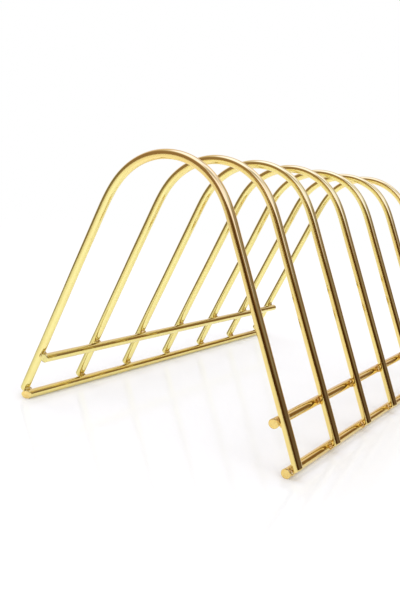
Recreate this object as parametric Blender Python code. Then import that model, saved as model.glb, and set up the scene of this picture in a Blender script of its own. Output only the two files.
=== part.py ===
"""Wire toast rack: seven bent-wire hoops standing in a row, held by four straight
rails (two under the feet, two a little higher up the legs) with a braze bead at
each of the 28 crossings.

Frame: metres, +Z up.  X runs across the rack, Y along the row of hoops, Z up from
the table.  The origin is on the table under the middle of the rack.
Everything is welded up, so nothing moves.
"""
import bpy
import bmesh
from math import sin, cos, tan, sqrt, pi, radians
from mathutils import Matrix, Vector

# ------------------------------------------------------------ driving dimensions
WIRE_D = 0.0031            # one wire gauge is used throughout
HOOPS = 7                  # gives six slots for toast
PITCH = 0.030              # hoop to hoop, centre to centre
CROWN_Z = 0.08954          # wire centre at the top of a hoop
CROWN_R = 0.02419          # bend radius of the wire centre at the crown
BLEND = 0.39               # last share of each half bend, where it eases into the leg
LEG_LEAN = radians(23.47)  # lean of the straight leg from vertical
LEG_END_Z = 0.0027         # height of the wire centre where a leg is cut off square

RAIL_GAP = 0.0002          # play between a leg and a rail, bridged by the braze
# rail end beyond the middle of the end hoops' wire, about flush with their faces
RAIL_OVERHANG = {"lower_left": 0.0022, "lower_right": 0.0017,
                 "upper_left": 0.0012, "upper_right": 0.0012}
RAIL_CHAMFER = 0.00025     # dulled edge of a cropped rail end
RAIL_SIDES = 16            # a flat of the polygon faces down and rests on the table
# height of the upper rails' centre at the first and the last hoop
UPPER_RAIL_Z = {"left": (0.0160, 0.0160), "right": (0.0150, 0.0164)}

CROWN_STEPS = 12           # straight chords in each half of the crown
BEAD_STEPS = 16            # points round a braze bead
BEAD_PLAY = 0.00012        # bead to wire
BEAD_BORE = 0.00085        # the bead is a ring round the point where the wires touch
BEAD_TOE = 0.0019          # how far the bead runs out along a wire
BEAD_THROAT = 0.00141      # how far up the side of the other wire it wets
BEAD_WRAP = radians(10)    # a foot bead's ends pass the leg's cropped end by this
BEAD_END_TOE = 0.00125     # reach towards a rail's cropped end, at the end hoops

WIRE_R = WIRE_D / 2
AXIS_GAP = WIRE_D + RAIL_GAP                      # leg centre to rail centre
LOWER_RAIL_Z = WIRE_R * cos(pi / RAIL_SIDES)      # flat on the table
SIDES = {"left": -1.0, "right": 1.0}

# ---------------------------------------------------------------------- clean up
for old in list(bpy.data.objects):
    bpy.data.objects.remove(old, do_unlink=True)

rack = bpy.data.objects.new("toast_rack", None)   # empty that carries every piece
bpy.context.scene.collection.objects.link(rack)


def finish(name, colour, roughness, metallic):
    mat = bpy.data.materials.new(name)
    mat.use_nodes = True
    bsdf = mat.node_tree.nodes["Principled BSDF"]
    bsdf.inputs["Base Color"].default_value = (*colour, 1.0)
    bsdf.inputs["Roughness"].default_value = roughness
    bsdf.inputs["Metallic"].default_value = metallic
    mat.diffuse_color = (*colour, 1.0)
    return mat


HOOP_GOLD = finish("polished_gold_hoop", (0.90, 0.66, 0.27), 0.12, 1.0)
RAIL_GOLD = finish("polished_gold_rail", (0.86, 0.60, 0.24), 0.15, 1.0)
BEAD_GOLD = finish("braze_gold", (0.72, 0.46, 0.16), 0.35, 1.0)


def add(name, data, mat, matrix=None):
    ob = bpy.data.objects.new(name, data)
    bpy.context.scene.collection.objects.link(ob)
    if not data.materials:
        data.materials.append(mat)
    ob.parent = rack
    if matrix is not None:
        ob.matrix_world = matrix
    return ob


# ------------------------------------------------------------- shape of one hoop
def half_crown():
    """Wire centre from the crown's top down to where the straight leg starts.

    The bend has a constant radius first and then eases off in proportion to the
    length along the wire, until it has turned through 90 degrees less the lean.
    """
    turn = pi / 2 - LEG_LEAN
    length = turn * CROWN_R / (1 - BLEND / 2)
    steady = length * (1 - BLEND)
    fine = 20                                     # substeps inside each chord
    ds = length / (CROWN_STEPS * fine)
    x, z, angle = 0.0, CROWN_Z, 0.0
    points = [(x, z)]
    for i in range(CROWN_STEPS * fine):
        s = (i + 0.5) * ds
        ease = 1.0 if s < steady else (length - s) / (length - steady)
        step = ease * ds / CROWN_R
        x += cos(angle + step / 2) * ds
        z -= sin(angle + step / 2) * ds
        angle += step
        if (i + 1) % fine == 0:
            points.append((x, z))
    return points


CROWN = half_crown()


def leg_x(z):
    """Distance of the leg's centre from the rack's middle plane at height z."""
    x0, z0 = CROWN[-1]
    return x0 + (z0 - z) * tan(LEG_LEAN)


def rail_x(z):
    """Where a rail at height z lies against the inside of the leaning leg."""
    return leg_x(z + AXIS_GAP * sin(LEG_LEAN)) - AXIS_GAP * cos(LEG_LEAN)


def hoop_y(k):
    return (k - (HOOPS + 1) / 2) * PITCH


def hoop_curve():
    foot = (leg_x(LEG_END_Z), LEG_END_Z)
    right = CROWN + [foot]
    path = [(-x, z) for x, z in reversed(right)] + right[1:]
    curve = bpy.data.curves.new("hoop_wire", "CURVE")
    curve.dimensions = "3D"
    curve.twist_mode = "MINIMUM"
    curve.bevel_depth = WIRE_R
    curve.bevel_resolution = 4
    curve.use_fill_caps = True
    spline = curve.splines.new("POLY")
    spline.points.add(len(path) - 1)
    spline.use_smooth = True
    for p, (x, z) in zip(spline.points, path):
        p.co = (x, 0.0, z, 1.0)
    return curve


def rail_mesh(name, length):
    """Straight wire along Y with a flat facet facing down and dulled ends."""
    bm = bmesh.new()
    bmesh.ops.create_cone(bm, cap_ends=True, cap_tris=False, segments=RAIL_SIDES,
                          radius1=WIRE_R, radius2=WIRE_R, depth=length)
    half = Matrix.Rotation(pi / RAIL_SIDES, 3, "Z")
    lay = Matrix.Rotation(pi / 2, 3, "X")
    bmesh.ops.rotate(bm, verts=bm.verts, cent=(0, 0, 0), matrix=lay @ half)
    rims = [e for e in bm.edges
            if all(abs(abs(v.co.y) - length / 2) < 1e-6 for v in e.verts)]
    bmesh.ops.bevel(bm, geom=rims, offset=RAIL_CHAMFER, segments=1, affect="EDGES")
    mesh = bpy.data.meshes.new(name)
    bm.to_mesh(mesh)
    bm.free()
    mesh.shade_smooth()
    mesh.set_sharp_from_angle(angle=radians(35))
    return mesh


def bead_mesh(name, open_foot, rail_end):
    """Ring of braze round the touching point of a leg and a rail.

    Local axes: X along the rail, Y down the leg, Z from the rail towards the leg,
    with the origin midway between the two wires.  The ring is bounded below by the
    rail and above by the leg.  At a foot the leg stops at the rail, so only the
    upper half of the ring is there.  rail_end is the direction along local X in
    which the rail stops, or 0 between the end hoops.
    """
    hug = WIRE_R + BEAD_PLAY
    mid = AXIS_GAP / 2

    def on_rail(b):
        return -mid + sqrt(hug * hug - b * b)

    def on_leg(a):
        return mid - sqrt(hug * hug - a * a)

    bm = bmesh.new()
    rings = []
    if open_foot:
        first, sweep, steps = pi - BEAD_WRAP, pi + 2 * BEAD_WRAP, BEAD_STEPS // 2 + 2
    else:
        first, sweep, steps = 0.0, 2 * pi, BEAD_STEPS
    for i in range(steps + open_foot):
        phi = first + sweep * i / steps
        ca, sb = cos(phi), sin(phi)
        toe = BEAD_END_TOE if ca * rail_end > 0 else BEAD_TOE
        toe_r = toe * ca * ca + BEAD_THROAT * sb * sb           # on the rail
        toe_l = BEAD_TOE * sb * sb + BEAD_THROAT * ca * ca      # on the leg
        low_in = on_rail(BEAD_BORE * sb)
        high_in = on_leg(BEAD_BORE * ca)
        low_out = on_rail(toe_r * sb)
        high_out = on_leg(toe_l * ca)
        crest = 0.5 * (toe_r + toe_l) + 0.00012
        section = [(BEAD_BORE, low_in), (toe_r, low_out),
                   (crest, 0.5 * (low_out + high_out)),
                   (toe_l, high_out), (BEAD_BORE, high_in)]
        rings.append([bm.verts.new((rho * ca, rho * sb, c)) for rho, c in section])
    n = len(rings[0])
    for i in range(steps):
        p, q = rings[i], rings[(i + 1) % len(rings)]
        for j in range(n):
            k = (j + 1) % n
            bm.faces.new((p[j], q[j], q[k], p[k]))
    if open_foot:
        bm.faces.new(rings[0])
        bm.faces.new(rings[-1])
    bmesh.ops.recalc_face_normals(bm, faces=bm.faces)
    mesh = bpy.data.meshes.new(name)
    bm.to_mesh(mesh)
    bm.free()
    mesh.shade_smooth()
    return mesh


# ------------------------------------------------------------------------- hoops
wire = hoop_curve()
for k in range(1, HOOPS + 1):
    add(f"hoop_{k}", wire, HOOP_GOLD, Matrix.Translation((0, hoop_y(k), 0)))

# ------------------------------------------------------------------------- rails
SPAN = (HOOPS - 1) * PITCH


def rail_height(level, side, y):
    if level == "lower":
        return LOWER_RAIL_Z
    z0, z1 = UPPER_RAIL_Z[side]
    return z0 + (z1 - z0) * (y + SPAN / 2) / SPAN


for level in ("lower", "upper"):
    for side, sign in SIDES.items():
        za = rail_height(level, side, -SPAN / 2)
        zb = rail_height(level, side, SPAN / 2)
        start = Vector((sign * rail_x(za), -SPAN / 2, za))
        stop = Vector((sign * rail_x(zb), SPAN / 2, zb))
        along = (stop - start).normalized()
        across = along.cross(Vector((0, 0, 1))).normalized()
        frame = Matrix((across, along, across.cross(along))).transposed().to_4x4()
        rail = rail_mesh(f"{level}_rail_{side}_wire",
                         SPAN + 2 * RAIL_OVERHANG[f"{level}_{side}"])
        add(f"{level}_rail_{side}", rail, RAIL_GOLD,
            Matrix.Translation((start + stop) / 2) @ frame)

# -------------------------------------------------------------------- braze beads
beads = {(level, end): bead_mesh(f"bead_{level}_{end + 1}", level == "lower", end)
         for level in ("lower", "upper") for end in (-1, 0, 1)}
for k in range(1, HOOPS + 1):
    for level in ("lower", "upper"):
        for side, sign in SIDES.items():
            z = rail_height(level, side, hoop_y(k))
            outward = Vector((sign * cos(LEG_LEAN), 0, sin(LEG_LEAN)))
            down_leg = Vector((sign * sin(LEG_LEAN), 0, -cos(LEG_LEAN)))
            along = down_leg.cross(outward)
            frame = Matrix((along, down_leg, outward)).transposed().to_4x4()
            centre = Vector((sign * rail_x(z), hoop_y(k), z)) + outward * (AXIS_GAP / 2)
            rail_end = {1: -1, HOOPS: 1}.get(k, 0) * round(along.y)
            add(f"braze_hoop{k}_{level}_{side}", beads[level, rail_end], BEAD_GOLD,
                Matrix.Translation(centre) @ frame)
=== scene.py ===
"""Looks of the wire toast rack: seven gold-plated hoops, four rails and the braze
fillets at their crossings, on a white table in soft studio light.  Metres, +Z up,
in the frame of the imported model.
"""
import math
from math import cos, sin, tan, pi, radians

import bpy
import numpy as np
from mathutils import Matrix, Vector


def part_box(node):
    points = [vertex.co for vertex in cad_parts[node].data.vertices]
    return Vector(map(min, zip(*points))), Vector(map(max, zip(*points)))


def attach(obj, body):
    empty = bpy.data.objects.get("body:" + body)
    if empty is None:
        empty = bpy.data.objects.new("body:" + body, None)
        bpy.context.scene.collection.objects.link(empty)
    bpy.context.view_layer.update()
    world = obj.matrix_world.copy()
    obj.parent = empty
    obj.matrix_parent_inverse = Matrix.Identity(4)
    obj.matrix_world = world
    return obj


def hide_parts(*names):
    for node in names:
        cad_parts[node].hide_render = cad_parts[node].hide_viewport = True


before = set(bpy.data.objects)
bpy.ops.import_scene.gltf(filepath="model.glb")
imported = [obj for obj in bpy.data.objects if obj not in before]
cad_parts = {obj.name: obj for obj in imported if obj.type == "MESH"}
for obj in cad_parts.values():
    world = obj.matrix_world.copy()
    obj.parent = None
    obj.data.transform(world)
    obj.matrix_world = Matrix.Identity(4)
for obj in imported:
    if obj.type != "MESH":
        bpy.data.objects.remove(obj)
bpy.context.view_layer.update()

# ----------------------------------------------------------------- sizes (metres)
WIRE_R = 0.00155
LEAN = radians(23.47)          # lean of the straight legs
CROWN_R = 0.02419              # bend radius at the crown
EASE = 0.39                    # share of each half bend that eases into the leg
CROWN_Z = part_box("hoop_4")[1].z - WIRE_R
HOOPS = sorted(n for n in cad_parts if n.startswith("hoop_"))
HOOP_Y = [(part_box(n)[0].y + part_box(n)[1].y) / 2 for n in HOOPS]
SIDES = {"left": -1.0, "right": 1.0}
AROUND = 44                    # facets round a wire
TOE_CUT = radians(18)          # a leg is cropped this much off square, outer side shorter
rng = np.random.RandomState(41)


def smoothstep(a, b, v):
    t = np.clip((v - a) / (b - a), 0.0, 1.0)
    return t * t * (3 - 2 * t)


def smin(a, b, k):
    """Smooth minimum of two distances; k is the width of the blend."""
    h = np.clip(k - np.abs(a - b), 0.0, None) / k
    return np.minimum(a, b) - h * h * k / 4


def smax(a, b, k):
    return -smin(-a, -b, k)


# ------------------------------------------------------------ centreline of a hoop
def half_crown(steps=1200):
    """(x, z, angle) from the crown's top down to where the straight leg starts."""
    turn = pi / 2 - LEAN
    length = turn * CROWN_R / (1 - EASE / 2)
    steady = length * (1 - EASE)
    ds = length / steps
    x, z, a = 0.0, CROWN_Z, 0.0
    out = [(x, z, a)]
    for i in range(steps):
        s = (i + 0.5) * ds
        ease = 1.0 if s < steady else (length - s) / (length - steady)
        step = ease * ds / CROWN_R
        x += cos(a + step / 2) * ds
        z -= sin(a + step / 2) * ds
        a += step
        out.append((x, z, a))
    return np.array(out), length


CROWN, CROWN_LEN = half_crown()
LEG_X0, LEG_Z0 = CROWN[-1, 0], CROWN[-1, 1]


def leg_x(z):
    return LEG_X0 + (LEG_Z0 - z) * tan(LEAN)


def hoop_point(s):
    """Centre and direction at arc length s from the crown's top; s < 0 is the left half."""
    sign, a = (1.0 if s >= 0 else -1.0), abs(s)
    if a <= CROWN_LEN:
        i = a / CROWN_LEN * (len(CROWN) - 1)
        j = min(int(i), len(CROWN) - 2)
        x, z, t = CROWN[j] + (CROWN[j + 1] - CROWN[j]) * (i - j)
    else:
        x = LEG_X0 + (a - CROWN_LEN) * sin(LEAN)
        z = LEG_Z0 - (a - CROWN_LEN) * cos(LEAN)
        t = pi / 2 - LEAN
    return np.array((sign * x, z)), np.array((cos(t), -sign * sin(t)))


def leg_s(z):
    """Arc length from the crown's top down to height z on a leg."""
    return CROWN_LEN + (LEG_Z0 - z) / cos(LEAN)


# ------------------------------------------------------------------ rails, joints
def rail_ends(name):
    """Start and end of a rail's centre line, from its box in the frame."""
    lo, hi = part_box(name)
    rise = (hi.z - lo.z) - 2 * WIRE_R
    x = (lo.x + hi.x) / 2
    if rise < 0.0004:
        z = (lo.z + hi.z) / 2
        return Vector((x, lo.y, z)), Vector((x, hi.y, z))
    # the tilted rail climbs towards +Y and follows the leg inwards as it climbs
    z0, z1 = lo.z + WIRE_R, hi.z - WIRE_R
    sign = 1.0 if x > 0 else -1.0
    reach = (hi.x - lo.x) / 2 - WIRE_R
    return (Vector((x + sign * reach, lo.y, z0)), Vector((x - sign * reach, hi.y, z1)))


RAILS = {f"{level}_rail_{side}": rail_ends(f"{level}_rail_{side}")
         for level in ("lower", "upper") for side in SIDES}


def rail_at(name, y):
    a, b = RAILS[name]
    return a + (b - a) * ((y - a.y) / (b.y - a.y))


class Joint:
    def __init__(self, k, level, side):
        self.k, self.level, self.side = k, level, side
        self.sign = SIDES[side]
        self.rail = f"{level}_rail_{side}"
        self.node = f"braze_hoop{k}_{level}_{side}"
        self.on_rail = np.array(rail_at(self.rail, HOOP_Y[k - 1]))
        self.outward = np.array((self.sign * cos(LEAN), 0.0, sin(LEAN)))
        self.down = np.array((self.sign * sin(LEAN), 0.0, -cos(LEAN)))
        # foot of the perpendicular from the rail's centre on the leg's centre line
        base = np.array((self.sign * leg_x(self.on_rail[2]), HOOP_Y[k - 1], self.on_rail[2]))
        self.on_leg = base + self.down * np.dot(self.on_rail - base, self.down)
        self.touch = (self.on_leg + self.on_rail) / 2


JOINTS = [Joint(k, level, side) for k in range(1, 8)
          for level in ("lower", "upper") for side in SIDES]


# ------------------------------------------------------------------- mesh helpers
def new_piece(name, verts, faces, mats, groups=None, smooth=True):
    mesh = bpy.data.meshes.new(name)
    mesh.from_pydata([tuple(v) for v in verts], [], [tuple(int(i) for i in f) for f in faces])
    mesh.validate(verbose=False)
    for m in mats:
        mesh.materials.append(m)
    if groups is not None:
        mesh.polygons.foreach_set("material_index", np.asarray(groups, np.int32))
    if smooth:
        mesh.shade_smooth()
    mesh.update()
    ob = bpy.data.objects.new(name, mesh)
    bpy.context.scene.collection.objects.link(ob)
    return ob


def put_attribute(ob, name, kind, values):
    at = ob.data.attributes.new(name, kind, "POINT")
    key = "vector" if kind == "FLOAT_VECTOR" else "value"
    at.data.foreach_set(key, np.asarray(values, np.float32).ravel())


def heat_at(points):
    """1 at a braze joint, falling off within a few millimetres."""
    best = np.full(len(points), 9.0)
    for j in JOINTS:
        d = np.linalg.norm(points - j.touch, axis=1)
        best = np.minimum(best, d)
    return np.exp(-(np.clip(best - 0.0012, 0, None) / 0.0021) ** 2)


def wave(seed, s, lengths, amps):
    """Slow wander along a wire: a few sine waves with fixed random phases."""
    r = np.random.RandomState(seed)
    out = np.zeros_like(s)
    for L, A in zip(lengths, amps):
        out += A * np.sin(2 * pi * s / (L * (0.85 + 0.3 * r.rand())) + 2 * pi * r.rand())
    return out


def wire_mesh(name, centres, tangents, normals, binormals, arc, end_a, end_b, seed, mats, tint_and_reflection=None):
    """A round wire swept along rings, closed by two cut faces.

    end_a and end_b give, for a point (u, v) of the cross-section in wire radii, how
    far the cut face lies beyond the first or last centre, along the wire.
    """
    n = len(centres)
    ang = np.arange(AROUND) * 2 * pi / AROUND
    cu, cv = np.cos(ang), np.sin(ang)
    verts, pos, faces, groups = [], [], [], []
    # lateral rings; the last few rings at each end lean over into the cut's plane
    fade = 0.0028
    for i in range(n):
        da = arc[i] - arc[0]
        db = arc[-1] - arc[i]
        shift = np.zeros(AROUND)
        if da < fade:
            shift -= end_a(cu, cv, 1.0) * (1 - da / fade)
        if db < fade:
            shift += end_b(cu, cv, 1.0) * (1 - db / fade)
        radius = WIRE_R
        p = (centres[i] + np.outer(cu * radius, normals[i]) + np.outer(cv * radius, binormals[i])
             + np.outer(shift, tangents[i]))
        verts.append(p)
        pos.append(np.stack([cu * radius, cv * radius, arc[i] + shift], 1))
    for i in range(n - 1):
        a, b = i * AROUND, (i + 1) * AROUND
        for k in range(AROUND):
            q = (k + 1) % AROUND
            faces.append((a + k, a + q, b + q, b + k))
            groups.append(0)
    base = n * AROUND
    # rounded rim and cut face at each end
    rim = 0.00024 / WIRE_R
    radii = [1 - rim * (1 - cos(t)) for t in np.linspace(0, pi / 2, 5)[1:]]
    drops = [rim * WIRE_R * sin(t) for t in np.linspace(0, pi / 2, 5)[1:]]
    radii += [0.72, 0.55, 0.36, 0.18]
    drops += [drops[-1]] * 4
    r = np.random.RandomState(seed)
    ph = r.rand(4) * 2 * pi
    for end, (i, way, shape) in enumerate(((0, -1.0, end_a), (n - 1, 1.0, end_b))):
        prev = i * AROUND
        for rad, drop in zip(radii, drops):
            u, v = cu * rad, cv * rad
            dish = 0.00003 * (np.sin(5.1 * u + ph[0]) * np.sin(4.3 * v + ph[1])
                              + 0.6 * np.sin(11 * (u * cos(ph[2]) + v * sin(ph[2])) + ph[3]))
            out = shape(u, v, rad) + drop - rim * WIRE_R + dish * (rad < 0.9)
            p = (centres[i] + np.outer(u * WIRE_R, normals[i]) + np.outer(v * WIRE_R, binormals[i])
                 + np.outer(way * out, tangents[i]))
            verts.append(p)
            pos.append(np.stack([u * WIRE_R, v * WIRE_R, arc[i] + way * out], 1))
            for k in range(AROUND):
                q = (k + 1) % AROUND
                f = (prev + k, base + k, base + q, prev + q)
                faces.append(f if end == 0 else f[::-1])
                groups.append(1 if rad < 1 - rim * 0.8 else 0)
            prev = base
            base += AROUND
        u = v = 0.0
        out = float(shape(np.zeros(1), np.zeros(1), 0.0)[0])
        verts.append((centres[i] + way * out * tangents[i])[None])
        pos.append(np.array([[0, 0, arc[i] + way * out]]))
        for k in range(AROUND):
            q = (k + 1) % AROUND
            f = (prev + k, base, prev + q)
            faces.append(f if end == 0 else f[::-1])
            groups.append(1)
        base += 1
    verts, pos = np.concatenate(verts), np.concatenate(pos)
    if np.dot(np.cross(normals[0], binormals[0]), tangents[0]) < 0:
        faces = [f[::-1] for f in faces]
    ob = new_piece(name, verts, faces, mats, groups)
    pos[:, 2] += 0.37 * seed
    put_attribute(ob, "wirepos", "FLOAT_VECTOR", pos)
    put_attribute(ob, "heat", "FLOAT", heat_at(verts))
    s = pos[:, 2] - 0.37 * seed
    # warmth of the colour along the wire: painted warm reflection given by the caller, 0.25 when none is
    # given
    put_attribute(ob, "tint_and_reflection", "FLOAT", tint_and_reflection(s) if tint_and_reflection else np.full(len(s), 0.25))
    return ob


def spaced(stops, fine, coarse, marks, near):
    """Ordered positions from stops[0] to stops[1], fine near the marks."""
    s, out = stops[0], [stops[0]]
    while s < stops[1] - 1e-9:
        d = min((abs(s - m) for m in marks), default=1.0)
        step = fine if d < near else min(coarse, fine + (d - near) * 0.5)
        s = min(s + step, stops[1])
        out.append(s)
    if out[-1] - out[-2] < fine * 0.4:
        del out[-2]
    return np.array(out)


# ---------------------------------------------------------------------- materials
class Nodes:
    """Short hands for building a node tree."""

    def __init__(self, tree):
        self.t = tree
        tree.nodes.clear()

    def node(self, kind, **props):
        n = self.t.nodes.new(kind)
        for k, v in props.items():
            setattr(n, k, v)
        return n

    def feed(self, socket, value):
        if hasattr(value, "is_output"):
            self.t.links.new(value, socket)
        else:
            socket.default_value = value

    def math(self, op, a, b=0.0, c=0.0, clamp=False):
        n = self.node("ShaderNodeMath", operation=op, use_clamp=clamp)
        for s, v in zip(n.inputs, (a, b, c)):
            self.feed(s, v)
        return n.outputs[0]

    def remap(self, v, a, b, c=0.0, d=1.0, kind="LINEAR"):
        n = self.node("ShaderNodeMapRange", interpolation_type=kind)
        for name, x in (("Value", v), ("From Min", a), ("From Max", b),
                        ("To Min", c), ("To Max", d)):
            self.feed(n.inputs[name], x)
        return n.outputs[0]

    def mix(self, f, a, b, blend="MIX"):
        n = self.node("ShaderNodeMix", data_type="RGBA", blend_type=blend)
        self.feed(n.inputs[0], f)
        self.feed(n.inputs[6], a if hasattr(a, "is_output") else (*a, 1.0))
        self.feed(n.inputs[7], b if hasattr(b, "is_output") else (*b, 1.0))
        return n.outputs[2]

    def attribute(self, name):
        return self.node("ShaderNodeAttribute", attribute_type="GEOMETRY", attribute_name=name)

    def stretch(self, vec, scale):
        n = self.node("ShaderNodeVectorMath", operation="MULTIPLY")
        self.feed(n.inputs[0], vec)
        n.inputs[1].default_value = scale
        return n.outputs[0]

    def noise(self, vec, scale, detail=3.0, rough=0.55, dist=0.0):
        n = self.node("ShaderNodeTexNoise")
        self.feed(n.inputs["Vector"], vec)
        n.inputs["Scale"].default_value = scale
        n.inputs["Detail"].default_value = detail
        n.inputs["Roughness"].default_value = rough
        n.inputs["Distortion"].default_value = dist
        return n.outputs["Fac"]

    def voronoi(self, vec, scale, feature="F1"):
        n = self.node("ShaderNodeTexVoronoi", feature=feature)
        self.feed(n.inputs["Vector"], vec)
        n.inputs["Scale"].default_value = scale
        return n.outputs["Distance"]

    def bump(self, height, strength, distance, normal=None):
        n = self.node("ShaderNodeBump")
        n.inputs["Strength"].default_value = strength
        n.inputs["Distance"].default_value = distance
        self.feed(n.inputs["Height"], height)
        if normal is not None:
            self.feed(n.inputs["Normal"], normal)
        return n.outputs[0]


def metal(name):
    m = bpy.data.materials.new(name)
    m.use_nodes = True
    k = Nodes(m.node_tree)
    out = k.node("ShaderNodeOutputMaterial")
    b = k.node("ShaderNodeBsdfPrincipled")
    m.node_tree.links.new(b.outputs[0], out.inputs["Surface"])
    b.inputs["Metallic"].default_value = 1.0
    return m, k, b


PALE = (0.925, 0.815, 0.315)     # bright plating
WARM = (0.925, 0.69, 0.25)      # warmer plating colour: painted warm reflection, and a slow random tint drift
HEATED = (0.80, 0.46, 0.13)      # heat-stained next to the braze


def plated_wire():
    m, k, b = metal("gold_plated_wire")
    pos = k.attribute("wirepos").outputs["Vector"]
    heat = k.attribute("heat").outputs["Fac"]
    cloud = k.noise(pos, 130.0, 3.0)
    drawn = k.noise(k.stretch(pos, (1.0, 1.0, 0.03)), 2600.0, 3.0, 0.6)   # drawing lines
    smudge = k.noise(pos, 420.0, 4.0, 0.6)
    pits = k.voronoi(pos, 520.0)
    pit = k.math("MULTIPLY", k.remap(pits, 0.05, 0.11, 1.0, 0.0, "SMOOTHSTEP"),
                 k.remap(k.noise(pos, 260.0, 1.0), 0.56, 0.62, 0.0, 1.0))
    # colour: pale to warm gold, warmed by the painted reflection carried per vertex and by a slow random
    # drift, stained near a joint
    tint_and_reflection = k.attribute("tint_and_reflection").outputs["Fac"]
    warm_tint_and_reflection = k.math("ADD", k.math("MULTIPLY", tint_and_reflection, 0.75), k.remap(cloud, 0.35, 0.72, -0.12, 0.25),
                    clamp=True)
    colour = k.mix(warm_tint_and_reflection, PALE, WARM)
    stain = k.math("MULTIPLY", k.math("POWER", heat, 1.5), k.remap(smudge, 0.3, 0.7, 0.35, 1.0),
                   clamp=True)
    colour = k.mix(k.math("MULTIPLY", stain, 0.55), colour, HEATED)
    colour = k.mix(k.math("MULTIPLY", pit, 0.6), colour, (0.30, 0.17, 0.05))
    k.feed(b.inputs["Base Color"], colour)
    rough = k.math("ADD", k.remap(smudge, 0.35, 0.7, 0.035, 0.075),
                   k.remap(drawn, 0.4, 0.7, 0.0, 0.02))
    rough = k.math("ADD", rough, k.math("MULTIPLY", heat, 0.12))
    rough = k.math("ADD", rough, k.math("MULTIPLY", pit, 0.25), clamp=True)
    k.feed(b.inputs["Roughness"], rough)
    n1 = k.bump(drawn, 1.0, 0.0000004)
    n2 = k.bump(k.noise(pos, 500.0, 1.0), 1.0, 0.0000015, n1)
    n3 = k.bump(k.noise(pos, 120.0, 0.0), 1.0, 0.000009, n2)
    n4 = k.bump(pit, 1.0, -0.00001, n3)
    k.feed(b.inputs["Normal"], n4)
    return m


def plated_cut():
    m, k, b = metal("gold_plated_cut_end")
    pos = k.attribute("wirepos").outputs["Vector"]
    shear = k.noise(k.stretch(pos, (0.12, 1.0, 1.0)), 6200.0, 3.0, 0.6)     # shear marks
    cloud = k.noise(pos, 900.0, 3.0)
    # cut faces are warmed by the painted reflection their wire carries
    tint_and_reflection = k.remap(k.attribute("tint_and_reflection").outputs["Fac"], 0.0, 0.25)
    warm = k.mix(k.remap(cloud, 0.35, 0.7), (0.96, 0.75, 0.28), (0.96, 0.68, 0.21))
    pale = k.mix(k.remap(cloud, 0.35, 0.7), (0.92, 0.84, 0.36), (0.90, 0.78, 0.30))
    colour = k.mix(tint_and_reflection, pale, warm)
    k.feed(b.inputs["Base Color"], colour)
    k.feed(b.inputs["Roughness"], k.remap(shear, 0.3, 0.7, 0.24, 0.38))
    n1 = k.bump(shear, 1.0, 0.000012)
    n2 = k.bump(cloud, 1.0, 0.00003, n1)
    k.feed(b.inputs["Normal"], n2)
    return m


def plated_braze():
    m, k, b = metal("gold_plated_braze")
    obj = k.node("ShaderNodeTexCoord").outputs["Object"]
    lump = k.noise(obj, 900.0, 4.0, 0.6)
    grit = k.noise(obj, 3200.0, 3.0, 0.65)
    pore = k.remap(k.voronoi(obj, 1100.0), 0.12, 0.30, 1.0, 0.0, "SMOOTHSTEP")
    # painted shade: the colour turns dark brown in creases, found by ambient occlusion
    ao = k.node("ShaderNodeAmbientOcclusion", samples=8, only_local=False)
    ao.inputs["Distance"].default_value = 0.0012
    painted_crease_shade = k.remap(ao.outputs["AO"], 0.25, 0.75, 1.0, 0.0)
    # joint colour: a random tint per joint, plus painted warm reflection on the right side's joints
    tint_and_reflection = k.attribute("tint_and_reflection").outputs["Fac"]
    warm = k.mix(k.remap(lump, 0.38, 0.66), (0.93, 0.68, 0.21), (0.80, 0.47, 0.12))
    pale = k.mix(k.remap(lump, 0.38, 0.66), (0.92, 0.79, 0.30), (0.82, 0.63, 0.18))
    colour = k.mix(tint_and_reflection, pale, warm)
    colour = k.mix(k.math("MULTIPLY", pore, 0.35), colour, (0.30, 0.16, 0.04))
    colour = k.mix(k.math("MULTIPLY", painted_crease_shade, 0.55), colour, (0.32, 0.17, 0.045))
    k.feed(b.inputs["Base Color"], colour)
    rough = k.math("ADD", k.remap(grit, 0.3, 0.7, 0.14, 0.34), k.math("MULTIPLY", pore, 0.2))
    k.feed(b.inputs["Roughness"], rough)
    n1 = k.bump(lump, 1.0, 0.00013)
    n2 = k.bump(grit, 1.0, 0.000018, n1)
    n3 = k.bump(pore, 1.0, -0.00007, n2)
    k.feed(b.inputs["Normal"], n3)
    return m


WIRE, CUT, BRAZE = plated_wire(), plated_cut(), plated_braze()


# -------------------------------------------------------------------------- hoops
LEG_END_Z = 0.0027


def toe_cut(u, v, rad):
    """Cut face of a leg: off square, the outer side shorter.  u points outwards."""
    return -u * WIRE_R * tan(TOE_CUT)


def crown_reflection_warmth(k):
    """Painted reflection: the plating's colour is made warmest over the crown and down the right limb,
    more on some hoops than others.
    """
    share = (1.0, 0.7, 0.35, 0.45, 0.2, 0.4, 0.6)[k - 1]
    return lambda s: np.maximum(share * smoothstep(-0.026, -0.006, s)
                                * (1 - 0.4 * smoothstep(0.030, 0.055, s)),
                                0.75 * smoothstep(0.018, 0.045, s))


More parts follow.
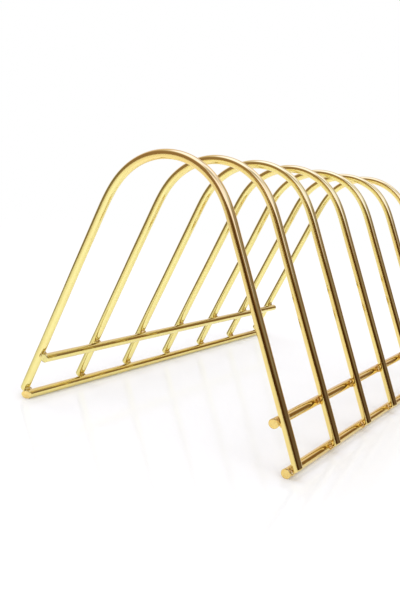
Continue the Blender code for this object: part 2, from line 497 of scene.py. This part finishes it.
def build_hoop(k):
    name = f"hoop_{k}"
    y0 = HOOP_Y[k - 1]
    end = leg_s(LEG_END_Z)
    marks = []
    for j in JOINTS:
        if j.k == k:
            marks.append(j.sign * leg_s(j.on_leg[2]))
    marks += [-end, end]
    left = spaced((-end, 0.0), 0.00035, 0.0012, marks, 0.0026)
    right = -spaced((-end, 0.0), 0.00035, 0.0012, [-m for m in marks], 0.0026)[::-1]
    arc = np.concatenate([left, right[1:]])
    cen, tan_ = [], []
    for s in arc:
        p, t = hoop_point(s)
        cen.append((p[0], y0, p[1]))
        tan_.append((t[0], 0.0, t[1]))
    cen, tan_ = np.array(cen), np.array(tan_)
    # hand bent crowns differ in height by a few tenths of a millimetre
    lift = (0.0, 0.00025, 0.0005, 0.00045, 0.0002, -0.0001, 0.0)[k - 1]
    part = np.clip(np.abs(arc) / (CROWN_LEN * 1.05), 0, 1)
    cen[:, 2] += lift * (0.5 + 0.5 * np.cos(pi * part))
    tan_ = np.gradient(cen, arc, axis=0)
    tan_ /= np.linalg.norm(tan_, axis=1)[:, None]
    # a bent wire is never dead flat: it wanders a few hundredths of a millimetre
    quiet = np.clip(1 - heat_at(cen), 0, 1)
    cen[:, 1] += quiet * wave(100 + k, arc, (0.061, 0.027), (0.00005, 0.00002))
    b = np.tile((0.0, -1.0, 0.0), (len(arc), 1))
    side = np.cross(b, tan_)                                         # outer side of the bend
    ob = wire_mesh(f"{name}_wire", cen, tan_, side, b, arc, toe_cut, toe_cut, k, [WIRE, CUT],
                   crown_reflection_warmth(k))
    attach(ob, "root")
    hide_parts(name)
    return ob


# -------------------------------------------------------------------------- rails
def end_face(tilt_x, tilt_z, extra=0.0):
    def shape(u, v, rad):
        return extra + WIRE_R * (u * tilt_x + v * tilt_z) + 0.0 * u
    return shape


RAIL_ENDS = {
    "lower_left": (end_face(-0.55, 0.24), end_face(-0.05, 0.04)),
    "lower_right": (end_face(0.05, 0.08), end_face(0.03, -0.05)),
    "upper_left": (end_face(-0.03, 0.10), end_face(0.05, 0.03)),
    "upper_right": (end_face(-0.05, 0.09), end_face(-0.04, -0.03)),
}


def build_rail(level, side, seed):
    name = f"{level}_rail_{side}"
    a, b = (np.array(v) for v in RAILS[name])
    along = (b - a) / np.linalg.norm(b - a)
    length = np.linalg.norm(b - a)
    across = np.cross(along, (0, 0, 1.0))
    across /= np.linalg.norm(across)
    up = np.cross(across, along)
    marks = [(y - a[1]) / along[1] for y in HOOP_Y] + [0.0, length]
    arc = spaced((0.0, length), 0.00035, 0.0016, marks, 0.0026)
    cen = a + np.outer(arc, along)
    n = len(arc)
    # painted warm reflection: the right rails are coloured warm, the lower left a little, the upper left
    # pale
    warm_tint_and_reflection = {"upper_left": 0.0, "lower_left": 0.3}.get(f"{level}_{side}", 0.9)
    ob = wire_mesh(f"{name}_wire", cen, np.tile(along, (n, 1)), np.tile(across, (n, 1)),
                   np.tile(up, (n, 1)), arc, *RAIL_ENDS[f"{level}_{side}"], seed, [WIRE, CUT],
                   lambda s: np.full(len(s), warm_tint_and_reflection))
    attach(ob, "root")
    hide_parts(name)
    return ob


# ------------------------------------------------------------------- braze joints
def net(f, origin, h):
    """Closed quad surface where the field f crosses zero (inside is negative)."""
    inside = f < 0
    shape = tuple(n - 1 for n in f.shape)
    acc, cnt = np.zeros(shape + (3,)), np.zeros(shape)
    corners = [(i, j, k) for i in (0, 1) for j in (0, 1) for k in (0, 1)]

    def part(arr, c):
        return arr[c[0]:c[0] + shape[0], c[1]:c[1] + shape[1], c[2]:c[2] + shape[2]]

    for a in corners:
        for axis in range(3):
            if a[axis]:
                continue
            b = list(a)
            b[axis] = 1
            va, vb = part(f, a), part(f, b)
            cross = part(inside, a) != part(inside, b)
            t = np.where(cross, va / np.where(va == vb, 1.0, va - vb), 0.0)
            for d in range(3):
                acc[..., d] += np.where(cross, a[d] + (t if d == axis else 0.0), 0.0)
            cnt += cross
    used = cnt > 0
    ids = np.full(shape, -1)
    ids[used] = np.arange(used.sum())
    grid = np.stack(np.meshgrid(*[np.arange(n) for n in shape], indexing="ij"), -1)
    verts = origin + h * (grid[used] + acc[used] / cnt[used][:, None])
    faces = []
    for axis in range(3):
        u, v = (axis + 1) % 3, (axis + 2) % 3
        a = np.moveaxis(inside, (axis, u, v), (0, 1, 2))
        m = np.moveaxis(ids, (axis, u, v), (0, 1, 2))
        lo, hi = a[:-1, 1:-1, 1:-1], a[1:, 1:-1, 1:-1]
        for flip, sel in ((False, lo & ~hi), (True, ~lo & hi)):
            i, j, k = np.nonzero(sel)
            q = np.stack([m[i, j, k], m[i, j + 1, k], m[i, j + 1, k + 1], m[i, j, k + 1]], 1)
            faces.append(q[:, ::-1] if flip else q)
    return verts, np.concatenate(faces)


def wander(p, seed, scale):
    """Smooth lumpy field of about unit size, from sine waves in random directions."""
    r = np.random.RandomState(seed)
    out = np.zeros(p.shape[:-1])
    for i in range(9):
        d = r.randn(3)
        d *= (0.7 + 0.8 * r.rand()) / np.linalg.norm(d) * 2 * pi / scale
        out += np.sin(p @ d + 2 * pi * r.rand())
    return out / 3.0


H = 0.00013


def build_braze(j, seed):
    r = np.random.RandomState(seed)
    half = 0.0036
    n = int(2 * half / H) + 1
    ax = np.linspace(-half, half, n)
    h = ax[1] - ax[0]
    p = np.stack(np.meshgrid(ax, ax, ax, indexing="ij"), -1) + j.touch
    along = np.array(RAILS[j.rail][1] - RAILS[j.rail][0])
    along /= np.linalg.norm(along)

    q = p - j.on_rail
    t = q @ along
    d_rail = np.linalg.norm(q - t[..., None] * along, axis=-1) - WIRE_R
    if j.k == 1:
        d_rail = smax(d_rail, (RAILS[j.rail][0].y + 0.00012) - p[..., 1], 0.0002)
    if j.k == 7:
        d_rail = smax(d_rail, p[..., 1] - (RAILS[j.rail][1].y - 0.00012), 0.0002)
    q = p - j.on_leg
    t = q @ j.down
    d_leg = np.linalg.norm(q - t[..., None] * j.down, axis=-1) - WIRE_R
    if j.level == "lower":
        stop = (j.on_leg[2] - LEG_END_Z) / cos(LEAN)
        u = (q @ j.outward)
        d_leg = smax(d_leg, t - (stop - u * tan(TOE_CUT)) + 0.00012, 0.0002)

    fill = (0.0011 if j.side == "right" else 0.0014) + 0.0005 * r.rand()
    inset = 0.00007
    f = smin(d_leg + inset, d_rail + inset, fill)
    # lumps of filler, most of them in the upper corner facing the front of the rack
    front = np.array((0, -1.0, 0))
    up = -j.down
    spots = [(0.72, 0.56, 0.00050), (0.85, -0.1, 0.00040), (0.28, 0.85, 0.00036)]
    for a, b, size in spots:
        a += 0.3 * (r.rand() - 0.5)
        b += 0.3 * (r.rand() - 0.5)
        size *= 0.75 + 0.5 * r.rand()
        if r.rand() < 0.25:
            continue
        c = (j.touch + front * a * 0.0016 + up * b * 0.0016
             + j.outward * 0.0005 * (r.rand() - 0.6))
        ball = np.linalg.norm(p - c, axis=-1) - size
        f = smin(f, ball, 0.0007)
    f = f + 0.00007 * wander(p, seed + 500, 0.0011) + 0.00003 * wander(p, seed + 900, 0.0005)
    f = smax(f, np.maximum(d_leg, d_rail) - 0.00095, 0.0003)
    f = smax(f, np.linalg.norm(p - j.touch, axis=-1) - 0.0031, 0.0003)
    f = smax(f, 0.00012 - p[..., 2], 0.0002)         # nothing reaches the table
    verts, faces = net(f, j.touch - half, h)
    ob = new_piece(f"{j.node}_fillet", verts, faces, [BRAZE])
    # keep the biggest closed body only
    import bmesh
    bm = bmesh.new()
    bm.from_mesh(ob.data)
    seen, best = set(), []
    for v in bm.verts:
        if v in seen:
            continue
        island, stack = [], [v]
        seen.add(v)
        while stack:
            w = stack.pop()
            island.append(w)
            for e in w.link_edges:
                o = e.other_vert(w)
                if o not in seen:
                    seen.add(o)
                    stack.append(o)
        if len(island) > len(best):
            best = island
    keep = set(best)
    bmesh.ops.delete(bm, geom=[v for v in bm.verts if v not in keep], context="VERTS")
    bmesh.ops.smooth_vert(bm, verts=bm.verts, factor=0.5, use_axis_x=True,
                          use_axis_y=True, use_axis_z=True)
    bm.to_mesh(ob.data)
    bm.free()
    ob.data.shade_smooth()
    # random tint per joint; the right side's joints also carry painted warm reflection, and hoop 1's left
    # joints are pale
    warm = (0.75 + 0.25 * r.rand()) if j.side == "right" else (0.1 if j.k == 1 else 0.35 + 0.4 * r.rand())
    put_attribute(ob, "tint_and_reflection", "FLOAT", np.full(len(ob.data.vertices), warm))
    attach(ob, "root")
    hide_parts(j.node)
    return ob


for k in range(1, 8):
    build_hoop(k)
for i, (level, side) in enumerate((l, s) for l in ("lower", "upper") for s in SIDES):
    build_rail(level, side, 11 + i)
for i, j in enumerate(JOINTS):
    build_braze(j, 1000 + i)


# ---------------------------------------------------------------- table and studio
def build_table():
    size = 3.0
    mat = bpy.data.materials.new("white_table")
    mat.use_nodes = True
    k = Nodes(mat.node_tree)
    out = k.node("ShaderNodeOutputMaterial")
    coord = k.node("ShaderNodeTexCoord").outputs["Object"]
    sep = k.node("ShaderNodeSeparateXYZ")
    k.feed(sep.inputs[0], coord)
    dx = k.math("ADD",
                k.math("MAXIMUM", k.math("MULTIPLY", k.math("SUBTRACT", k.math("MULTIPLY", sep.outputs[0], -1.0), 0.050), 2.0), 0.0),
                k.math("MULTIPLY", k.math("MAXIMUM", k.math("SUBTRACT", sep.outputs[0], 0.050), 0.0), 2.2))
    dy = k.math("MAXIMUM", k.math("SUBTRACT", k.math("ABSOLUTE", sep.outputs[1]), 0.090), 0.0)
    d = k.math("SQRT", k.math("ADD", k.math("MULTIPLY", dx, dx), k.math("MULTIPLY", dy, dy)))
    near = k.math("DIVIDE", 1.0, k.math("ADD", 1.0, k.math("POWER", k.math("DIVIDE", d, 1.0), 2.0)))
    grazing = k.node("ShaderNodeFresnel")
    grazing.inputs["IOR"].default_value = 1.36
    outside = k.math("MULTIPLY", k.remap(d, 0.0, 0.08, 0.15, 1.0),
                     k.remap(sep.outputs[1], -0.17, -0.09, 0.55, 1.0))
    near = k.math("MULTIPLY", near,
                  k.math("SUBTRACT", 1.0, k.math("MULTIPLY", grazing.outputs[0], outside)))
    near = k.math("MULTIPLY", near, k.remap(sep.outputs[0], 0.046, 0.088, 1.0, 0.62, "SMOOTHSTEP"))
    dif = k.node("ShaderNodeBsdfDiffuse")
    dif.inputs["Color"].default_value = (0.902, 0.904, 0.914, 1)
    glo = k.node("ShaderNodeBsdfGlossy")
    glo.inputs["Color"].default_value = (1, 1, 1, 1)
    glo.inputs["Roughness"].default_value = 0.11
    sheen = k.node("ShaderNodeMixShader")
    sheen.inputs[0].default_value = 0.115
    mat.node_tree.links.new(dif.outputs[0], sheen.inputs[1])
    mat.node_tree.links.new(glo.outputs[0], sheen.inputs[2])
    # far from the rack the table falls away, in reflections sooner than to the eye
    path = k.node("ShaderNodeLightPath")
    lift = k.node("ShaderNodeEmission")
    lift.inputs["Color"].default_value = (0.88, 0.97, 1.22, 1)
    k.feed(lift.inputs["Strength"],
           k.math("ADD", k.math("MULTIPLY", path.outputs["Is Camera Ray"], 0.053),
                  k.math("MULTIPLY", path.outputs["Is Glossy Ray"], 0.075)))
    top = k.node("ShaderNodeAddShader")
    mat.node_tree.links.new(sheen.outputs[0], top.inputs[0])
    mat.node_tree.links.new(lift.outputs[0], top.inputs[1])
    far = k.remap(k.math("SQRT", k.math("ADD", k.math("POWER", k.math("ABSOLUTE", sep.outputs[0]), 2.0),
                                        k.math("POWER", k.math("ABSOLUTE", sep.outputs[1]), 2.0))),
                  0.30, 0.85, 0.0, 1.0, "SMOOTHSTEP")
    glossy = path.outputs["Is Glossy Ray"]
    gone = k.math("ADD", k.math("MULTIPLY", k.math("SUBTRACT", 1.0, glossy), far),
                  k.math("MULTIPLY", glossy, k.math("SUBTRACT", 1.0, near)))
    clear = k.node("ShaderNodeBsdfTransparent")
    both = k.node("ShaderNodeMixShader")
    k.feed(both.inputs[0], gone)
    mat.node_tree.links.new(top.outputs[0], both.inputs[1])
    mat.node_tree.links.new(clear.outputs[0], both.inputs[2])
    mat.node_tree.links.new(both.outputs[0], out.inputs["Surface"])
    ob = new_piece("white_table", [(-size, -size, 0), (size, -size, 0), (size, size, 0),
                                   (-size, size, 0)], [(0, 1, 2, 3)], [mat], smooth=False)
    ob.location.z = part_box("lower_rail_left")[0].z - 0.00002


def build_world():
    """What the polished wire mirrors: a white ceiling and softbox, a dim warm room at
    eye level, dark where the camera stands, a pale backdrop behind."""
    w = bpy.data.worlds.new("studio")
    bpy.context.scene.world = w
    w.use_nodes = True
    w.cycles.sampling_method = "NONE"
    k = Nodes(w.node_tree)
    out = k.node("ShaderNodeOutputWorld")
    vec = k.node("ShaderNodeTexCoord").outputs["Generated"]
    sep = k.node("ShaderNodeSeparateXYZ")
    k.feed(sep.inputs[0], vec)
    x, y, z = sep.outputs
    el = k.math("MULTIPLY", k.math("ARCSINE", z), 180 / pi)
    flat = k.math("SQRT", k.math("MAXIMUM", k.math("SUBTRACT", 1.0, k.math("MULTIPLY", z, z)), 1e-6))

    def az_mask(centre, half, soft):
        a = radians(centre)
        c = k.math("DIVIDE", k.math("SUBTRACT", k.math("MULTIPLY", x, sin(a)),
                                    k.math("MULTIPLY", y, cos(a))), flat)
        return k.remap(c, cos(radians(min(half + soft, 180))), cos(radians(max(half - soft, 0))),
                       0.0, 1.0, "SMOOTHSTEP")

    def el_mask(lo, hi, soft):
        a = k.remap(el, lo - soft, lo + soft, 0.0, 1.0, "SMOOTHSTEP")
        b = k.remap(el, hi - soft, hi + soft, 1.0, 0.0, "SMOOTHSTEP")
        return k.math("MULTIPLY", a, b)

    def zone(az, half, asoft, lo, hi, esoft):
        return k.math("MULTIPLY", az_mask(az, half, asoft), el_mask(lo, hi, esoft))

    def box(az, elev, wide, tall, turn, soft):
        """A flat rectangular light: half sizes wide and tall in degrees, turned in its plane."""
        a, e, t = radians(az), radians(elev), radians(turn)
        fwd = Vector((sin(a) * cos(e), -cos(a) * cos(e), sin(e)))
        side = Vector((0, 0, 1)).cross(fwd).normalized()
        top = fwd.cross(side)
        side, top = side * cos(t) + top * sin(t), top * cos(t) - side * sin(t)

        def along(v):
            n = k.node("ShaderNodeVectorMath", operation="DOT_PRODUCT")
            k.feed(n.inputs[0], vec)
            n.inputs[1].default_value = v
            return n.outputs["Value"]

        ahead = along(fwd)
        safe = k.math("MAXIMUM", ahead, 0.05)
        mask = k.math("GREATER_THAN", ahead, 0.05)
        for v, half in ((side, wide), (top, tall)):
            q = k.math("ABSOLUTE", k.math("DIVIDE", along(v), safe))
            edge = tan(radians(half))
            mask = k.math("MULTIPLY", mask, k.remap(q, edge - soft, edge + soft, 1.0, 0.0, "SMOOTHSTEP"))
        return mask

    ramp = k.node("ShaderNodeValToRGB")
    k.feed(ramp.inputs[0], k.remap(el, -90, 90, 0.0, 1.0))
    stops = [(-90, (0.50, 0.40, 0.32)), (-20, (0.34, 0.23, 0.16)), (-3, (0.30, 0.195, 0.13)),
             (6, (0.31, 0.205, 0.135)), (20, (0.31, 0.205, 0.135)), (34, (0.30, 0.20, 0.15)),
             (44, (0.36, 0.27, 0.22)), (50, (0.55, 0.48, 0.46)), (58, (0.95, 0.94, 1.40)),
             (70, (1.15, 1.20, 2.4)), (90, (1.28, 1.33, 2.6))]
    els = ramp.color_ramp.elements
    while len(els) < len(stops):
        els.new(0.5)
    for e, (a, c) in zip(els, stops):
        e.position = (a + 90) / 180
        e.color = (*c, 1.0)
    c = ramp.outputs[0]
    c = k.mix(zone(112, 42, 12, 37, 64, 5), c, (0.61, 0.66, 1.08))        # above the right side
    c = k.mix(zone(100, 40, 12, 24, 38, 4), c, (0.36, 0.32, 0.37))
    c = k.mix(zone(99, 38, 12, -14, 27, 3), c, (0.185, 0.15, 0.155))     # dim right side
    c = k.mix(zone(99, 38, 12, -14, 18, 3), c, (0.135, 0.10, 0.10))
    c = k.mix(zone(85, 15, 7, 19, 27, 2.5), c, (0.29, 0.26, 0.29))
    c = k.mix(zone(158, 18, 8, 27, 50, 5), c, (0.52, 0.40, 0.30))         # behind, to the right
    c = k.mix(zone(161, 16, 7, -8, 29, 5), c, (0.22, 0.128, 0.058))
    c = k.mix(zone(-146, 48, 5, -14, 58, 6), c, (0.80, 0.70, 0.76))       # pale backdrop
    c = k.mix(zone(-158, 32, 12, 56, 72, 4), c, (0.58, 0.66, 1.20))
    c = k.mix(zone(163, 15, 7, 50, 68, 5), c, (1.22, 1.24, 2.1))
    c = k.mix(zone(-76, 18, 5, -30, 20, 5), c, (0.175, 0.170, 0.12))      # dim left side
    c = k.mix(zone(-10, 14, 9, -8, 6, 5), c, (0.19, 0.115, 0.060))
    c = k.mix(zone(29, 31, 7, -8, 18, 5), c, (0.06, 0.025, 0.008))        # camera and its user
    c = k.mix(zone(86, 22, 10, 47, 64, 5), c, (0.99, 1.06, 1.95))
    c = k.mix(box(37, 39, 27, 13.5, 3.0, 0.022), c, (1.12, 1.16, 2.1))     # softbox
    c = k.mix(zone(-80, 80, 15, 59, 100, 4), c, (1.30, 1.36, 2.7))         # overhead light
    c = k.mix(zone(44, 32, 10, 62, 77, 5), c, (0.38, 0.41, 0.62))         # gap between the two
    room = k.node("ShaderNodeBackground")
    k.feed(room.inputs["Color"], c)
    white = k.node("ShaderNodeBackground")
    white.inputs["Color"].default_value = (1, 1, 1, 1)
    white.inputs["Strength"].default_value = 1.0
    fill = k.node("ShaderNodeBackground")
    fill.inputs["Color"].default_value = (1, 1, 1, 1)
    fill.inputs["Strength"].default_value = 0.998
    path = k.node("ShaderNodeLightPath")
    a = k.node("ShaderNodeMixShader")
    k.feed(a.inputs[0], path.outputs["Is Glossy Ray"])
    w.node_tree.links.new(fill.outputs[0], a.inputs[1])
    w.node_tree.links.new(room.outputs[0], a.inputs[2])
    b = k.node("ShaderNodeMixShader")
    k.feed(b.inputs[0], path.outputs["Is Camera Ray"])
    w.node_tree.links.new(a.outputs[0], b.inputs[1])
    w.node_tree.links.new(white.outputs[0], b.inputs[2])
    w.node_tree.links.new(b.outputs[0], out.inputs["Surface"])


def build_lamp(name, place, target, spread, power):
    """A big soft light, far enough away to light the whole table evenly."""
    lamp = bpy.data.lights.new(name, "SUN")
    lamp.angle = radians(spread)
    lamp.energy = power
    ob = bpy.data.objects.new(name, lamp)
    bpy.context.scene.collection.objects.link(ob)
    ob.location = place
    ob.rotation_mode = "QUATERNION"
    ob.rotation_quaternion = (Vector(target) - Vector(place)).to_track_quat("-Z", "Y")
    ob.visible_glossy = False
    ob.visible_camera = False
    return ob


build_table()
build_world()
build_lamp("left_light", (-0.70, 0.20, 0.85), (0, 0, 0), 40, 0.30)
build_lamp("right_light", (0.75, -0.30, 0.72), (0.02, 0, 0), 40, 0.44)

# ------------------------------------------------------------------------- camera
AZ, EL, ROLL = 0.5356682, 0.1618698, 0.0956790
cam = bpy.data.cameras.new("camera")
cam.sensor_fit = "AUTO"
cam.sensor_width = 36.0
cam.lens = 763.624 * 36.0 / 600.0
cam.clip_start, cam.clip_end = 0.005, 50.0
cam_ob = bpy.data.objects.new("camera", cam)
bpy.context.scene.collection.objects.link(cam_ob)
back = Vector((sin(AZ) * cos(EL), -cos(AZ) * cos(EL), sin(EL)))
cx = Vector((0, 0, 1)).cross(back).normalized()
cy = back.cross(cx)
ux = cos(ROLL) * cx + sin(ROLL) * cy
uy = -sin(ROLL) * cx + cos(ROLL) * cy
place = Matrix((ux, uy, back)).transposed().to_4x4()
place.translation = Vector((0.1327822, -0.2874489, 0.0841451))
cam_ob.matrix_world = place
bpy.context.scene.camera = cam_ob
bpy.context.scene.view_settings.view_transform = "Standard"
bpy.context.scene.view_settings.look = "None"
bpy.context.scene.view_settings.exposure = 0.0
bpy.context.scene.view_settings.gamma = 1.0
